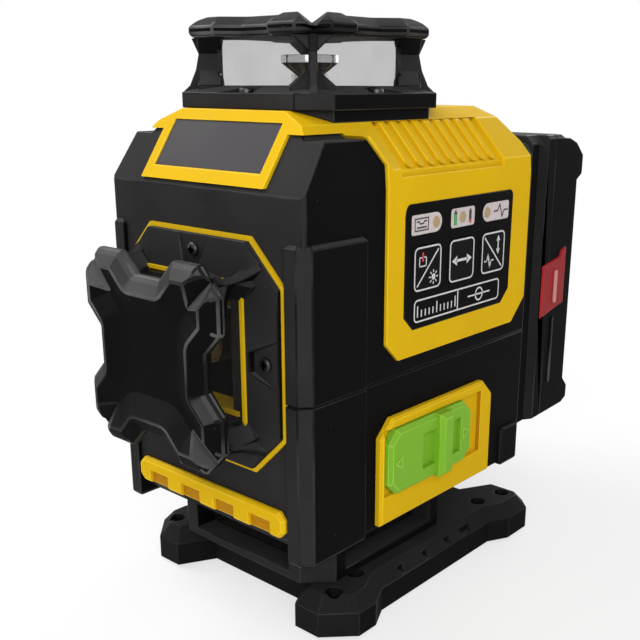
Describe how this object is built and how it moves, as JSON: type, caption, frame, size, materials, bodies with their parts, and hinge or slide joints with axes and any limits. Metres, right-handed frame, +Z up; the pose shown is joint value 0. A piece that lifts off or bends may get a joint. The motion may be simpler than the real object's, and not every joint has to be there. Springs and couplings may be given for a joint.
{
  "type": "multi-line laser level",
  "caption": "Self-levelling multi-line laser level with glazed turrets and guards, a gimballed pendulum, lock slider, press keys and a slide-on battery, on a foot plate with a tripod thread.",
  "frame": {"origin": "mouth of the tripod thread on the surface the level stands on, under the top turret's axis", "axes": "+Z up, -Y out of the front turret, +X out of the control panel, battery on +Y"},
  "size_m": [0.1128, 0.1751, 0.1827],
  "materials": {
    "black_shell": "matte",
    "guard_rubber": "matte",
    "foot_plastic": "matte",
    "yellow_shell": "satin",
    "yellow_seal": "satin",
    "label_grey": "satin",
    "clear_pane": "polished",
    "lime_plastic": "satin",
    "red_plastic": "satin",
    "key_rubber": "satin",
    "light_lens": "gloss",
    "inner_plastic": "matte",
    "circuit_board": "satin",
    "bare_aluminium": "satin",
    "cell_sleeve": "satin",
    "brass_weight": "satin",
    "steel": "satin",
    "cone_mirror": "polished"
  },
  "bodies": {
    "housing": {"upper_housing": "black_shell", "lower_housing": "black_shell", "saddle": "yellow_shell", "label_plate": "label_grey", "bumper_bar": "yellow_shell", "housing_screws": "steel", "top_turret_frame": "black_shell", "top_turret_guard": "guard_rubber", "top_window_panes": "clear_pane", "front_turret_bezel": "black_shell", "front_turret_guard": "guard_rubber", "left_turret_bezel": "black_shell", "left_turret_guard": "guard_rubber", "side_window_panes": "clear_pane", "turret_gaskets": "yellow_seal", "window_seals": "yellow_seal", "turret_screws": "steel", "neck_turret": "black_shell", "neck_window_panes": "clear_pane", "foot_plate": "foot_plastic", "foot_screws": "steel", "rubber_feet": "guard_rubber", "tripod_insert": "brass_weight", "control_panel": "black_shell", "indicator_windows": "light_lens", "keypad_board": "circuit_board", "key_switches": "steel", "main_board": "circuit_board", "battery_dock": "black_shell", "contact_blades": "brass_weight", "lock_bezel": "yellow_shell", "gimbal_bracket": "bare_aluminium", "gimbal_bearings": "steel", "brake_posts": "steel"},
    "gimbal": {"gimbal_ring": "bare_aluminium", "gimbal_ring_bearings": "steel", "gimbal_pins": "steel"},
    "pendulum": {"pendulum_column": "bare_aluminium", "pendulum_pins": "steel", "counterweight": "brass_weight", "balance_weight": "brass_weight", "laser_barrels": "brass_weight", "clear_tubes": "clear_pane", "cone_mirrors": "cone_mirror"},
    "lock": {"lock_slider": "lime_plastic", "lock_cam": "inner_plastic"},
    "brake": {"brake_ring": "inner_plastic"},
    "power_button": {"key_power": "key_rubber"},
    "horizontal_button": {"key_horizontal": "key_rubber"},
    "vertical_button": {"key_vertical": "key_rubber"},
    "battery": {"battery_case_front": "black_shell", "battery_case_back": "black_shell", "battery_cells": "cell_sleeve", "cell_tabs": "steel", "battery_terminals": "brass_weight", "cell_cradle": "inner_plastic", "charge_board": "circuit_board"},
    "right_latch": {"battery_latch_right": "red_plastic"},
    "left_latch": {"battery_latch_left": "red_plastic"}
  },
  "joints": [
    {"name": "gimbal_tilt", "type": "hinge", "parent": "housing", "child": "gimbal", "pos_m": [0, 0, 0.125], "axis": [1, 0, 0], "range_deg": [-3, 3]},
    {"name": "pendulum_swing", "type": "hinge", "parent": "gimbal", "child": "pendulum", "pos_m": [0, 0, 0.125], "axis": [0, 1, 0], "range_deg": [-3, 3]},
    {"name": "lock_slide", "type": "slide", "parent": "housing", "child": "lock", "axis": [0, 1, 0], "range_m": [0, 0.008]},
    {"name": "brake_lift", "type": "slide", "parent": "housing", "child": "brake", "axis": [0, 0, 1], "range_m": [0, 0.0024]},
    {"name": "power_press", "type": "slide", "parent": "housing", "child": "power_button", "axis": [-1, 0, 0], "range_m": [0, 0.0007], "stiffness_N_per_m": 1500},
    {"name": "horizontal_press", "type": "slide", "parent": "housing", "child": "horizontal_button", "axis": [-1, 0, 0], "range_m": [0, 0.0007], "stiffness_N_per_m": 1500},
    {"name": "vertical_press", "type": "slide", "parent": "housing", "child": "vertical_button", "axis": [-1, 0, 0], "range_m": [0, 0.0007], "stiffness_N_per_m": 1500},
    {"name": "battery_slide", "type": "slide", "parent": "housing", "child": "battery", "axis": [0, 0, 1], "range_m": [0, 0.07]},
    {"name": "right_latch_press", "type": "slide", "parent": "battery", "child": "right_latch", "axis": [-1, 0, 0], "range_m": [0, 0.0015], "stiffness_N_per_m": 1600},
    {"name": "left_latch_press", "type": "slide", "parent": "battery", "child": "left_latch", "axis": [1, 0, 0], "range_m": [0, 0.0015], "stiffness_N_per_m": 1600}
  ],
  "couplings": [
    {"joint": "brake_lift", "follows": "lock_slide", "ratio": 0.3}
  ]
}
